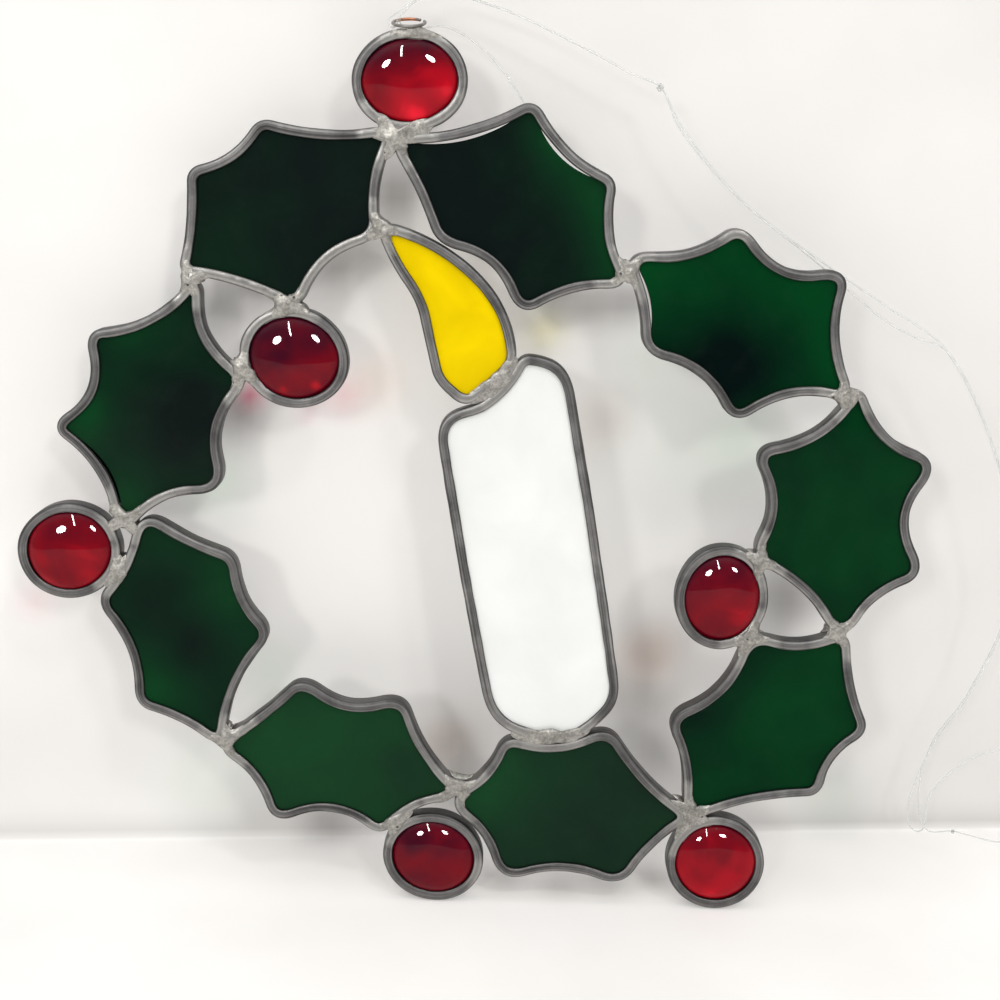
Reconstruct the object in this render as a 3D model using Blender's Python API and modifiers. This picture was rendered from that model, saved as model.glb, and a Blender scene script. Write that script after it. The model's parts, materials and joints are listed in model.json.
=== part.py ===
"""A stained glass suncatcher: a holly wreath round a lit candle, leaded and soldered.

Sizes are in millimetres and become metres as each object is made. Outlines lie in the plane of
the glass, x to the right and z up as it hangs, seen from the front. y runs through the
thickness, with the front at -y. Everything is measured from the middle of the hanging ring.
"""
import bpy
from math import atan2, ceil, cos, pi, radians, sin, sqrt
from mathutils import Vector

MM = 0.001
GAP = 0.3                       # clearance between pieces that touch

# Lead came: a U-shaped strip that wraps each pane's edge and opens towards the glass.
CAME_FACE = 2.4                 # width seen from the front
CAME_DEPTH = 5.0                # front to back
CAME_FLANGE = 0.7               # thickness of the front and back lips
CAME_HEART = 0.8                # thickness of the web along the outside

PANE_THICKNESS = 3.0
SIDE_SAG = 0.7                  # how far a straight run may stray from a curved side
SHARP_CORNER = 3.5              # a corner rounded by no more than this is cut straight

# An outline is a list of corners, clockwise. Each is x, z, rounding, bow: where its two sides
# would meet, how far from there the rounding starts, and how far the side that follows bows
# inward at its middle.
HOLLY_LEAVES = {
    1: [(-16, -47.5, 4, 4), (-38, -61, 3.5, 1.5), (-63.5, -48, 2, 1),
        (-57, -25.5, 2.5, 2.5), (-38.5, -17, 2.5, 2), (-7.5, -23.5, 5, 2.5)],
    2: [(-8.5, -25.5, 5, 2.5), (26, -23, 3, 2.5), (42, -44, 2.5, 3),
        (42.5, -69, 5.5, 3), (15, -71.5, 5, 5), (-1, -51.5, 4, 1)],
    3: [(42, -60.5, 7, 4), (71, -59, 4, 6.5), (95.5, -73, 6, 4),
        (92.5, -105, 5, 4.5), (63, -106, 4.5, 4.5), (44, -85.5, 4.5, 2)],
    4: [(94.5, -102.5, 3, 5), (113, -124, 6.5, 7.5), (105.5, -152, 5, 4.5),
        (82.5, -168, 8.5, 4), (63, -140.5, 5, 5), (67, -114, 5, 4.5)],
    5: [(60, -160, 6, 3.5), (84, -164, 4, 1.5), (86, -191, 3.5, 3),
        (72, -205.5, 3, 2), (36.5, -207.5, 7, 3), (36.5, -179.5, 5, 5)],
    6: [(-5.5, -178.5, 3.5, 3.5), (21, -180, 5, 2), (38, -207, 4, 2),
        (18, -223, 5.5, 4.5), (-13, -217, 6.5, 4), (-24.5, -192, 7.5, 3.5)],
    7: [(-79, -168.5, 5, 1), (-54, -154.5, 4.5, 5), (-30, -163, 5, 2.5),
        (-19, -192, 5.5, 3), (-41.5, -198.5, 3, 5.5), (-68.5, -191.5, 5, 3.5)],
    8: [(-86, -105, 6.5, 1), (-65.5, -120.5, 3, 2.5), (-60, -141, 4, 3),
        (-78, -168, 4.5, 1.5), (-96.5, -154, 3.5, 3.5), (-101, -126, 4, 2.5)],
    9: [(-60, -50, 4.5, 5), (-53.5, -76.5, 4, 6), (-62.5, -104.5, 8, 6),
        (-92.5, -111, 6, 4.5), (-102.5, -80.5, 3.5, 5.5), (-89.5, -59.5, 3.5, 4)],
}
FLAME = [(-14.5, -45.5, 3.5, -2), (6.5, -62, 2.5, -2), (11.5, -82.5, 2.5, -0.5),
         (-2, -91, 3.5, 0.5), (-7, -85, 3.5, 0), (-8, -63.5, 5, -1)]
CANDLE = [(-8.5, -95, 5.5, -0.5), (1, -93, 2, 1.5), (14, -82.5, 2, -1), (24, -88, 5, -0.5),
          (24, -172, 4.5, -1), (11, -180.5, 3, -2), (-8, -171.5, 6.5, -0.5)]

# Panes that were cut a little small: on these sides, counted from the leaf's first corner, the
# glass bows in further than its came and leaves a sliver of daylight.
SHORT_SIDES = {2: (0, 1), 3: (5,), 9: (3,)}
SHORT_BY = 1.7

# Berries, clockwise from the top: x, z, half width, half height, turn in degrees.
BERRIES = {
    1: (-2, -13, 12.5, 10.75, -5),
    2: (54.25, -150, 10.5, 12.25, -15),
    3: (43.25, -220.75, 11.5, 11.75, 30),
    4: (-29.25, -207.5, 12, 10.75, -30),
    5: (-105.5, -112, 11.75, 11, 5),
    6: (-41, -73.25, 12.25, 11, -30),
}
BERRY_SIDES = 12
# A nugget in section, from the top of its dome to the middle of its flat back: share of the
# radius and height above the middle of the pane.
NUGGET_PROFILE = [(0, 4.6), (0.4, 4.25), (0.7, 3.2), (0.87, 1.5), (1, 1.2), (1, -1.5), (0, -1.5)]

# Solder on the front, where cames meet: centre, half width of an arm, and the far end of each
# arm from the centre. The last one is the mound that the ring is bedded in.
SOLDER = {
    "solder_01": ((-7.5, -25.5), 1.7, [(-4.5, 8.5), (11, 4.5), (-6, 1.5), (-3.5, -4), (2, -4)]),
    "solder_02": ((-14.5, -46), 1.4, [(-2, 4.5), (-5.5, -2), (4, -1.5), (1.5, -3.5)]),
    "solder_03": ((-39.5, -60.5), 1.5, [(-6, 4.5), (4.5, 3), (-10, -4.5), (4, -3.5)]),
    "solder_04": ((-62.5, -50.5), 1.4, [(0.5, 4.5), (7.5, -1), (1, -4.5), (-2.5, -2)]),
    "solder_05": ((-54, -74), 1.5, [(-2.5, 4), (-4, -6), (4.5, -5.5), (2.5, 3.5)]),
    "solder_06": ((-90, -106), 1.5, [(-3.5, 5), (-5, -2.5), (6.5, 3), (3, -5)]),
    "solder_07": ((-94.5, -119), 1.3, [(0.5, 6), (-4, -2.5), (4.5, 5.5), (1, -4)]),
    "solder_08": ((-76.5, -167.5), 1.4, [(7.5, 3.5), (-4.5, 1.5), (1.5, -5.5), (1, 4)]),
    "solder_09": ((-19.5, -194), 1.6, [(0.5, 7.5), (5, -11), (-11, 3)]),
    "solder_10": ((-37.5, -196.5), 1.4, [(-5, 0), (-2.5, -3), (4, 2.5)]),
    "solder_11": ((6, -180), 2.2, [(-9, 2.5), (11, 1.5)]),
    "solder_12": ((39, -206), 1.6, [(0, 6.5), (-5, 4), (5.5, 0.5), (-6, -8.5)]),
    "solder_13": ((82, -163.5), 1.4, [(-1.5, 4), (5, 3), (-4.5, 0), (1.5, -5.5)]),
    "solder_14": ((65, -142), 1.4, [(1, 4.5), (-3.5, 1.5), (3.5, -2), (-1, -4.5)]),
    "solder_15": ((60, -161.5), 1.4, [(2.5, 5), (4.5, -1), (-5.5, -0.5), (-3, -4.5)]),
    "solder_16": ((90.5, -103.5), 1.4, [(-4, -0.5), (0.5, 3.5), (4.5, -0.5), (0, -3)]),
    "solder_17": ((42.5, -65.5), 1.4, [(-6, -2.5), (3.5, 3), (1.5, -5), (-1.5, 3)]),
    "solder_18": ((7.5, -86.5), 2, [(4.5, 4.5), (-7, -4.5)]),
    "solder_ring_mound": ((0.5, -3.1), 1.2, [(-6.5, 1), (8, -2)]),
}
SOLDER_THICKNESS = 1.0
ARM_TAPER = 0.8                 # width of an arm's end as a share of its root
HOLLOW_REACH = 1.3              # half widths from the centre to the hollow between two arms
WIDE_OPENING = radians(160)     # between arms further apart than this the centre is left full

# The hanging ring: copper wire bent to an open loop. It lies across the top berry's came, its
# front edge bedded lower than its back, and turned to follow the came.
RING_RADIUS = 3.8
RING_WIRE = 0.75
RING_FROM = 45                  # degrees from the right, towards the back, where the wire starts
RING_TO = 385                   # and where it ends
RING_TIP_FORWARD = 17
RING_LEAN = 9
RING_POINTS = 17

# The fishing line's route: x, y, z. It takes a turn round the left of the ring, goes up and
# over to the first knot and on to the floor, comes back beside itself, and ends behind a leaf.
LINE_DIAMETER = 0.4
LINE_START = [(-2.6, -0.5, 1.1), (-2.7, -0.5, 0.3), (-3.2, -0.45, -0.3), (-3.9, -0.3, -0.5),
              (-4.6, -0.1, -0.1), (-4.8, 0.2, 0.8), (-4.3, 1, 1.8), (-3, 2, 2.6), (2, 3.8, 5.2),
              (7, 4.2, 6.8)]
# Where both strands run together, the fourth number is how far down and left the second lies.
LINE_PAIR = [(21.5, 5, 0.5, 0.2), (40, 5.5, -11.8, 0), (50, 5.8, -19.2, 0.1),
             (56.9, 6, -23.8, 0), (60.5, 6.2, -33, 0.6), (72, 6.2, -52.5, 0.1),
             (89, 5.6, -70, 0.6), (106, 7.5, -85.5, 2.2), (113, 8.4, -91.5, 1.9),
             (119, 9, -98, 0.2), (130, 12.5, -129, 0), (132.5, 18.5, -166, 0),
             (118.5, 22.8, -195.5, 0), (109, 26.5, -208.5, 0)]
LINE_STRAND_GAP = 1.2           # the second strand runs this far in front of the first
LINE_TURN = [(104, 29.2, -226), (105.3, 28.5, -234.9), (111.4, 24, -234.4), (124, 14, -235),
             (138, 13.5, -229), (137, 16.5, -213), (121, 21.5, -212), (107, 26, -223),
             (104.8, 26.8, -231), (103.9, 27.8, -234.3), (102.4, 28.9, -235.1),
             (101, 29.7, -233.6), (101, 29, -227)]
LINE_END = [(7.5, 3, 5.6), (0.5, 2.5, 3.9), (-2.1, 1.6, 1.2), (-1, 3.3, -1.2),
            (8, 3.5, -1.9), (16.7, 4.5, -9), (23, 4.5, -20), (26, 4.5, -29)]
LINE_SAG = 0.3
# The knots: place, direction of the line through it, ring radius and strand thickness.
LINE_KNOTS = {
    "line_knot_1": ((56.9, 5.4, -23.8), (1, 0, -1.1), 1.35, 0.5),
    "line_knot_2": ((111.4, 24, -234.4), (1, -0.8, 0), 0.75, 0.4),
}


def side_of(corners, i):
    """Return the start, the chord and the bow of the side that follows corner i."""
    x0, z0, _, bow = corners[i]
    x1, z1 = corners[(i + 1) % len(corners)][:2]
    chord = Vector((x1 - x0, z1 - z0))
    inward = Vector((chord.y, -chord.x)).normalized()
    return Vector((x0, z0)), chord, inward * 4 * bow


def on_side(side, s):
    """Return the point at share s of a side, which is a shallow parabola."""
    start, chord, bow = side
    return start + chord * s + bow * s * (1 - s)


def along_side(side, s):
    """Return the direction of a side at share s."""
    _, chord, bow = side
    return chord + bow * (1 - 2 * s)


def meeting_point(p, p_way, q, q_way):
    """Return where the line through p along p_way meets the one through q along q_way."""
    return p + p_way * ((q - p).cross(q_way) / p_way.cross(q_way))


def outline(corners):
    """Return the points round an outline: curved sides joined by rounded corners."""
    points = []
    count = len(corners)
    sides = [side_of(corners, i) for i in range(count)]
    for i, side in enumerate(sides):
        after = (i + 1) % count
        rounding = corners[after][2]
        first = corners[i][2] / side[1].length
        last = 1 - rounding / side[1].length
        runs = max(1, ceil(sqrt(abs(corners[i][3]) / SIDE_SAG)))
        points += [on_side(side, first + (last - first) * k / runs) for k in range(runs + 1)]
        if rounding > SHARP_CORNER:
            s = rounding / sides[after][1].length
            p, q = points[-1], on_side(sides[after], s)
            tip = meeting_point(p, along_side(side, last), q, along_side(sides[after], s))
            points.append((p + tip * 2 + q) / 4)
    return points


def ellipse(x, z, half_width, half_height, turn):
    """Return the points round a berry's outline."""
    points = []
    for k in range(BERRY_SIDES):
        angle = -2 * pi * k / BERRY_SIDES
        across, up = half_width * cos(angle), half_height * sin(angle)
        turned = Vector((across, up))
        turned = Vector((turned.x * cos(turn) - turned.y * sin(turn),
                         turned.x * sin(turn) + turned.y * cos(turn)))
        points.append(Vector((x, z)) + turned)
    return points


def star(centre, half_width, arms):
    """Return a solder joint's outline: blunt arms from a centre, with hollows between them."""
    centre = Vector(centre)
    arms = sorted((Vector(arm) for arm in arms), key=lambda arm: -atan2(arm.y, arm.x))
    points = []
    for arm, following in zip(arms, arms[1:] + arms[:1]):
        heading = atan2(arm.y, arm.x)
        side = Vector((-sin(heading), cos(heading))) * half_width * ARM_TAPER
        points += [centre + arm + side, centre + arm - side]
        opening = (heading - atan2(following.y, following.x)) % (2 * pi)
        hollows = 1 if opening < WIDE_OPENING else 2
        for k in range(1, hollows + 1):
            angle = heading - opening * k / (hollows + 1)
            reach = half_width * HOLLOW_REACH
            points.append(centre + Vector((cos(angle), sin(angle))) * reach)
    return points


def smooth_curve(points, steps):
    """Return a centripetal Catmull-Rom curve through the points, with steps to each span."""
    points = [Vector(point) for point in points]
    ends = [points[0] * 2 - points[1]] + points + [points[-1] * 2 - points[-2]]
    curve = []
    for a, b, c, d in zip(ends, ends[1:], ends[2:], ends[3:]):
        t1 = sqrt((b - a).length)
        t2 = t1 + sqrt((c - b).length)
        t3 = t2 + sqrt((d - c).length)
        for k in range(steps):
            t = t1 + (t2 - t1) * k / steps
            ab, bc, cd = a.lerp(b, t / t1), b.lerp(c, (t - t1) / (t2 - t1)), c.lerp(d, (t - t2) / (t3 - t2))
            abc, bcd = ab.lerp(bc, t / t2), bc.lerp(cd, (t - t1) / (t3 - t1))
            curve.append(abc.lerp(bcd, (t - t1) / (t2 - t1)))
    return curve + [points[-1]]


def strays(points, first, last):
    """Return how far the points between two others lie from the straight line joining them."""
    start, way = points[first], points[last] - points[first]
    return max(((p - start).cross(way).length / way.length for p in points[first + 1:last]), default=0)


def thinned(points, sag):
    """Return as few of the points as keep straight runs within sag of the curve."""
    kept = [0]
    for i in range(2, len(points)):
        if strays(points, kept[-1], i) > sag:
            kept.append(i - 1)
    return [points[i] for i in kept] + [points[-1]]


def finish(name, colour, roughness, metallic=0.0, transmission=0.0):
    """Return a new material."""
    material = bpy.data.materials.new(name)
    material.use_nodes = True
    shader = material.node_tree.nodes["Principled BSDF"]
    shader.inputs["Base Color"].default_value = (*colour, 1)
    shader.inputs["Roughness"].default_value = roughness
    shader.inputs["Metallic"].default_value = metallic
    shader.inputs["Transmission Weight"].default_value = transmission
    material.diffuse_color = (*colour, 1)
    return material


def place(name, data, material, collection):
    """Return a new object that shows data, upright: its own y axis points up."""
    thing = bpy.data.objects.new(name, data)
    thing.rotation_euler.x = radians(90)
    data.materials.append(material)
    collection.objects.link(thing)
    return thing


def flat_curve(name, points):
    """Return a closed flat curve through the points."""
    curve = bpy.data.curves.new(name, "CURVE")
    curve.dimensions = "2D"
    spline = curve.splines.new("POLY")
    spline.points.add(len(points) - 1)
    for point, (x, z) in zip(spline.points, points):
        point.co = (x * MM, z * MM, 0, 1)
    spline.use_cyclic_u = True
    return curve


def plate(name, points, thickness, front, material, collection):
    """Add a flat piece of the given outline, thickness and front face."""
    curve = flat_curve(name, points)
    curve.fill_mode = "BOTH"
    curve.extrude = thickness / 2 * MM
    thing = place(name, curve, material, collection)
    thing.location.y = (front + thickness / 2) * MM
    return thing


def came_profile(collection):
    """Return the came's section as a guide, open to the right, which becomes the glass side."""
    half_face, half_depth = CAME_FACE / 2, CAME_DEPTH / 2
    floor, lip = half_face - CAME_HEART, half_depth - CAME_FLANGE
    section = [(half_face, -half_depth), (-half_face, -half_depth), (-half_face, half_depth),
               (half_face, half_depth), (half_face, lip), (-floor, lip), (-floor, -lip),
               (half_face, -lip)]
    guide = bpy.data.objects.new("came_section", flat_curve("came_section", section))
    guide.hide_render = True
    guide.display_type = "WIRE"
    collection.objects.link(guide)
    return guide


def came(name, points, section, material, collection):
    """Add a closed came round an outline."""
    curve = flat_curve(name, points)
    curve.bevel_mode = "OBJECT"
    curve.bevel_object = section
    return place(name, curve, material, collection)


def wire(name, points, diameter, material, collection):
    """Add a round wire or line, with closed ends, along points in space."""
    curve = bpy.data.curves.new(name, "CURVE")
    curve.dimensions = "3D"
    spline = curve.splines.new("POLY")
    spline.points.add(len(points) - 1)
    for point, place_mm in zip(spline.points, points):
        point.co = (*(Vector(place_mm) * MM), 1)
    curve.bevel_depth = diameter / 2 * MM
    curve.bevel_resolution = 2
    curve.use_fill_caps = True
    curve.materials.append(material)
    thing = bpy.data.objects.new(name, curve)
    collection.objects.link(thing)
    return thing


def nugget(name, x, z, half_width, half_height, turn, material, collection):
    """Add a glass nugget: a turned profile, stretched to an oval, flat side to the back."""
    mesh = bpy.data.meshes.new(name)
    rim = [(radius, 0, height * MM) for radius, height in NUGGET_PROFILE]
    mesh.from_pydata(rim, [(i, i + 1) for i in range(len(rim) - 1)], [])
    thing = place(name, mesh, material, collection)
    thing.location = (x * MM, 0, z * MM)
    thing.rotation_euler.y = -turn
    thing.scale = (half_width * MM, half_height * MM, 1)
    screw = thing.modifiers.new("turned", "SCREW")
    screw.steps = screw.render_steps = BERRY_SIDES
    screw.use_merge_vertices = True
    screw.merge_threshold = 0.0001
    return thing


def ring_points():
    """Return the points along the hanging ring's wire."""
    points = []
    tip, lean = radians(RING_TIP_FORWARD), radians(RING_LEAN)
    for k in range(RING_POINTS):
        angle = radians(RING_FROM + (RING_TO - RING_FROM) * k / (RING_POINTS - 1))
        across, back = RING_RADIUS * cos(angle), RING_RADIUS * sin(angle)
        rise = back * sin(tip)
        points.append((across * cos(lean) + rise * sin(lean), back * cos(tip),
                       rise * cos(lean) - across * sin(lean)))
    return points


def line_points():
    """Return the whole route of the fishing line: out, round the turn and back."""
    out = [(x, y, z) for x, y, z, _ in LINE_PAIR]
    back = [(x - apart, y - LINE_STRAND_GAP, z - apart) for x, y, z, apart in reversed(LINE_PAIR)]
    return LINE_START + out + LINE_TURN + back + LINE_END


def knot(name, centre, way, radius, thickness, material, collection):
    """Add a knot as a small closed ring round the line."""
    bpy.ops.mesh.primitive_torus_add(
        major_segments=8, minor_segments=5,
        major_radius=radius * MM, minor_radius=thickness / 2 * MM,
        location=Vector(centre) * MM, rotation=Vector(way).to_track_quat("Z", "Y").to_euler())
    thing = bpy.context.object
    thing.name = name
    thing.data.materials.append(material)
    for owner in thing.users_collection:
        owner.objects.unlink(thing)
    collection.objects.link(thing)
    return thing


def main():
    """Build the suncatcher."""
    for thing in list(bpy.data.objects):
        bpy.data.objects.remove(thing)
    suncatcher = bpy.data.collections.new("stained_glass_suncatcher")
    guides = bpy.data.collections.new("guides")
    bpy.context.scene.collection.children.link(suncatcher)
    bpy.context.scene.collection.children.link(guides)

    lead = finish("lead_came", (0.2, 0.19, 0.21), 0.5, metallic=1)
    solder = finish("bright_solder", (0.6, 0.6, 0.58), 0.35, metallic=1)
    green = finish("dark_green_glass", (0, 0.06, 0.02), 0.05, transmission=0.6)
    red = finish("red_glass", (0.45, 0.01, 0.03), 0.05, transmission=0.6)
    white = finish("opal_white_glass", (0.9, 0.92, 0.94), 0.1)
    yellow = finish("yellow_glass", (0.85, 0.65, 0), 0.1)
    copper = finish("tinned_copper_wire", (0.55, 0.4, 0.35), 0.35, metallic=1)
    nylon = finish("clear_line", (0.85, 0.87, 0.88), 0.15, transmission=0.8)

    section = came_profile(guides)
    pane_front = -PANE_THICKNESS / 2
    for number, corners in HOLLY_LEAVES.items():
        short = SHORT_SIDES.get(number, ())
        pane = [(x, z, rounding, bow + SHORT_BY * (i in short))
                for i, (x, z, rounding, bow) in enumerate(corners)]
        name = f"holly_leaf_{number}"
        plate(f"{name}_glass", outline(pane), PANE_THICKNESS, pane_front, green, suncatcher)
        came(f"{name}_came", outline(corners), section, lead, suncatcher)
    for name, corners, glass in (("flame", FLAME, yellow), ("candle", CANDLE, white)):
        plate(f"{name}_glass", outline(corners), PANE_THICKNESS, pane_front, glass, suncatcher)
        came(f"{name}_came", outline(corners), section, lead, suncatcher)
    for number, (x, z, half_width, half_height, degrees) in BERRIES.items():
        turn = radians(degrees)
        rim = ellipse(x, z, half_width, half_height, turn)
        nugget(f"berry_{number}_glass", x, z, half_width, half_height, turn, red, suncatcher)
        came(f"berry_{number}_came", rim, section, lead, suncatcher)

    solder_front = -CAME_DEPTH / 2 - GAP - SOLDER_THICKNESS
    for name, (centre, half_width, arms) in SOLDER.items():
        joint = star(centre, half_width, arms)
        plate(name, joint, SOLDER_THICKNESS, solder_front, solder, suncatcher)

    wire("hanging_ring", ring_points(), RING_WIRE, copper, suncatcher)
    route = thinned(smooth_curve(line_points(), 12), LINE_SAG)
    wire("fishing_line", route, LINE_DIAMETER, nylon, suncatcher)
    for name, (centre, way, radius, thickness) in LINE_KNOTS.items():
        knot(name, centre, way, radius, thickness, nylon, suncatcher)


main()
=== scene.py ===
import bpy
import json
import numpy as np
from mathutils import Matrix, Vector

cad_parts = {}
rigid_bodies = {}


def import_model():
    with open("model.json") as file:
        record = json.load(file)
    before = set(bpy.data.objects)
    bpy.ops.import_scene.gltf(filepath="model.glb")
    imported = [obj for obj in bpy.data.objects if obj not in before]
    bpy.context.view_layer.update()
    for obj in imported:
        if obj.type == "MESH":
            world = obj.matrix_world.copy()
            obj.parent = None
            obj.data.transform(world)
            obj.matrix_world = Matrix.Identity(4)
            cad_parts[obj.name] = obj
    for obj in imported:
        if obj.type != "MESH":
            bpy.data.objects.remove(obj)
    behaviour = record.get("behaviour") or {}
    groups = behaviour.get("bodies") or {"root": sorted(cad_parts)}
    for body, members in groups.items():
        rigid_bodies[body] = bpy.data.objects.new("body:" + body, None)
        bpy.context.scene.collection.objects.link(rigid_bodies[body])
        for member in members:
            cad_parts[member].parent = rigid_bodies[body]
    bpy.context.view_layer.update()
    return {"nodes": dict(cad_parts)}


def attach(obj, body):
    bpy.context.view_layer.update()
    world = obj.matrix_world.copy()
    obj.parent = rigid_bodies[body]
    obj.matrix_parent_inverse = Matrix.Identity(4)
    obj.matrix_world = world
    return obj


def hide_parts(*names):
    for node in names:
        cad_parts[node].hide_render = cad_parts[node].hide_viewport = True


# A leaded holly wreath round a lit candle, hung by a ring and a clear line.
# Lengths here are in millimetres, measured from the middle of the ring: x to the right, z up,
# and y through the thickness with the front at minus y. Meshes are put in as metres.

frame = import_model()
mm = 0.001
print("frame loaded:", len(frame["nodes"]), "solids")


def unit(ways):
    return ways / np.linalg.norm(ways, axis=-1, keepdims=True)


def between(one, other, share):
    return one + (other - one) * share


def distances(points):
    # How far along the line each point lies: the steps up to it, added together.
    return np.concatenate([[0], np.cumsum(np.linalg.norm(np.diff(points, axis=0), axis=1))])


def turned(across, up, degrees):
    # A place turned about the origin: (x cos a - z sin a, x sin a + z cos a).
    cos, sin = np.cos(np.radians(degrees)), np.sin(np.radians(degrees))
    return across * cos - up * sin, across * sin + up * cos


def softSpots(x, z, spots):
    # Each spot adds change exp(-(distance / reach) squared) round its middle.
    return sum(change * np.exp(-((x - spotX) ** 2 + (z - spotZ) ** 2) / reach ** 2)
               for spotX, spotZ, reach, change in spots)


def ripple(points, wavelength, seed, waves=7):
    # Smooth unevenness between about -1 and 1: a sum of sine waves in seeded directions.
    draw = np.random.default_rng(seed)
    ways = unit(draw.normal(size=(waves, points.shape[-1])))
    lengths = wavelength * draw.uniform(0.6, 1.7, waves)
    phases = draw.uniform(0, 2 * np.pi, waves)
    return np.sin(points @ (ways * 2 * np.pi / lengths[:, None]).T + phases).mean(-1) * 1.6


def inScene(name, data):
    thing = bpy.data.objects.new(name, data)
    bpy.context.scene.collection.objects.link(thing)
    return thing


def skin(name, rings, poles=None, marks=None):
    # Quads between neighbouring rings. Each pole is a point that closes an end; with no poles
    # the last ring joins the first. Texture coordinates are metres along and round the skin.
    count, around = rings.shape[:2]
    along = distances(np.vstack([rings[:, 0], rings[:1, 0]]))
    girth = distances(np.vstack([rings[0], rings[0, :1]]))
    i, j = np.meshgrid(np.arange(count - (poles is not None)), np.arange(around), indexing="ij")
    i, j = i.ravel(), j.ravel()
    nextI, nextJ = (i + 1) % count * around, (j + 1) % around
    quads = np.stack([i * around + j, i * around + nextJ, nextI + nextJ, nextI + j], 1)
    quadUv = np.stack([along[i], girth[j], along[i], girth[j + 1],
                       along[i + 1], girth[j + 1], along[i + 1], girth[j]], 1).reshape(-1, 4, 2)
    points = rings.reshape(-1, 3)
    fans = np.zeros((0, 3), int)
    if poles is not None:
        k = np.arange(around)
        pole, last = np.full(around, count * around), (count - 1) * around
        fans = np.vstack([np.stack([pole, (k + 1) % around, k], 1),
                          np.stack([pole + 1, last + k, last + (k + 1) % around], 1)])
        points = np.vstack([points, poles])
    a, b, c = np.moveaxis(points[np.vstack([quads[:, [0, 1, 2]], quads[:, [0, 2, 3]], fans])], 1, 0)
    if (a * np.cross(b, c)).sum() < 0:  # the volume: turn every face outwards
        quads, quadUv, fans = quads[:, ::-1], quadUv[:, ::-1], fans[:, ::-1]
    mesh = bpy.data.meshes.new(name)
    mesh.from_pydata((points * mm).tolist(), [], quads.tolist() + fans.tolist())
    uv = np.append(quadUv.ravel(), np.zeros(fans.size * 2))
    mesh.uv_layers.new(name="lay").data.foreach_set("uv", uv * mm)
    for label, values in (marks or {}).items():
        ends = [values[0].mean(), values[-1].mean()] if poles is not None else []
        mesh.attributes.new(label, "FLOAT", "POINT").data.foreach_set("value", np.append(values, ends))
    mesh.validate()
    mesh.shade_smooth()
    return inScene(name, mesh)


def evenly(points, count):
    # A closed outline read again at equal steps of its own length.
    loop = np.vstack([points, points[:1]])
    length = distances(loop)
    steps = np.linspace(0, length[-1], count, endpoint=False)
    return np.stack([np.interp(steps, length, loop[:, k]) for k in range(loop.shape[1])], 1)


def inwards(points):
    # The unit direction into a clockwise closed outline, at each of its points.
    way = unit(np.roll(points, -1, 0) - np.roll(points, 1, 0))
    return np.stack([way[:, 1], -way[:, 0]], 1)


def outlineOf(corners, perSide=26, perCorner=14):
    # Each side is a shallow parabola, start + chord s + 4 bow s (1 - s), bowed inward. Each
    # corner is a quadratic curve whose middle point is where the two sides' tangents meet.
    table = np.array(corners, float)
    start, rounding, bow = table[:, :2], table[:, 2], table[:, 3]
    chord = np.roll(start, -1, 0) - start
    length = np.linalg.norm(chord, axis=1)
    push = np.stack([chord[:, 1], -chord[:, 0]], 1) / length[:, None] * 4 * bow[:, None]
    first = (rounding / length)[:, None, None]
    last = (1 - np.roll(rounding, -1) / length)[:, None, None]
    share = between(first, last, np.linspace(0, 1, perSide)[None, :, None])
    sides = start[:, None] + chord[:, None] * share + push[:, None] * share * (1 - share)
    leave = chord + push * (1 - 2 * last[:, 0])
    enter = np.roll(chord + push * (1 - 2 * first[:, 0]), -1, 0)
    p, q = sides[:, -1], np.roll(sides[:, 0], -1, 0)
    gap = q - p
    reach = ((gap[:, 0] * enter[:, 1] - gap[:, 1] * enter[:, 0])
             / (leave[:, 0] * enter[:, 1] - leave[:, 1] * enter[:, 0]))
    tip = p + leave * reach[:, None]
    t = np.linspace(0, 1, perCorner)[None, 1:-1, None]
    bends = p[:, None] * (1 - t) ** 2 + tip[:, None] * 2 * t * (1 - t) + q[:, None] * t ** 2
    return np.concatenate([sides, bends], 1).reshape(-1, 2)


def ovalOf(berry, count=240):
    # An ellipse, walked clockwise and turned about its middle.
    x, z, halfWidth, halfHeight, degrees = berry
    angle = -2 * np.pi * np.arange(count) / count
    across, up = turned(halfWidth * np.cos(angle), halfHeight * np.sin(angle), degrees)
    return np.stack([x + across, z + up], 1)


def smoothRoute(points, steps):
    # A centripetal Catmull-Rom curve, with steps to each span: straight blends between
    # neighbouring points a, b, c and d, blended together twice more.
    p = np.array(points, float)
    p = np.vstack([2 * p[0] - p[1], p, 2 * p[-1] - p[-2]])
    a, b, c, d = p[:-3, None], p[1:-2, None], p[2:-1, None], p[3:, None]
    spans = [np.sqrt(np.linalg.norm(way, axis=2, keepdims=True)) for way in (b - a, c - b, d - c)]
    t1, t2, t3 = np.cumsum(spans, axis=0)
    t = between(t1, t2, np.linspace(0, 1, steps, endpoint=False)[None, :, None])
    middle = (t - t1) / (t2 - t1)
    ab, bc, cd = between(a, b, t / t1), between(b, c, middle), between(c, d, (t - t2) / (t3 - t2))
    abc, bcd = between(ab, bc, t / t2), between(bc, cd, (t - t1) / (t3 - t1))
    return np.vstack([between(abc, bcd, middle).reshape(-1, 3), p[-2]])


def tubeRings(path, radius, towards, sides=12):
    # Circles across a path, radius (u cos a + v sin a). The frame's u is square to the path
    # and to the given direction, and v is square to both, so the tube doesn't twist.
    way = unit(np.gradient(path, axis=0))
    u = unit(np.cross(way, towards))
    v = np.cross(way, u)
    angle = 2 * np.pi * np.arange(sides) / sides
    circle = u[:, None] * np.cos(angle)[:, None] + v[:, None] * np.sin(angle)[:, None]
    return path[:, None] + np.broadcast_to(radius, len(path))[:, None, None] * circle


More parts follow.
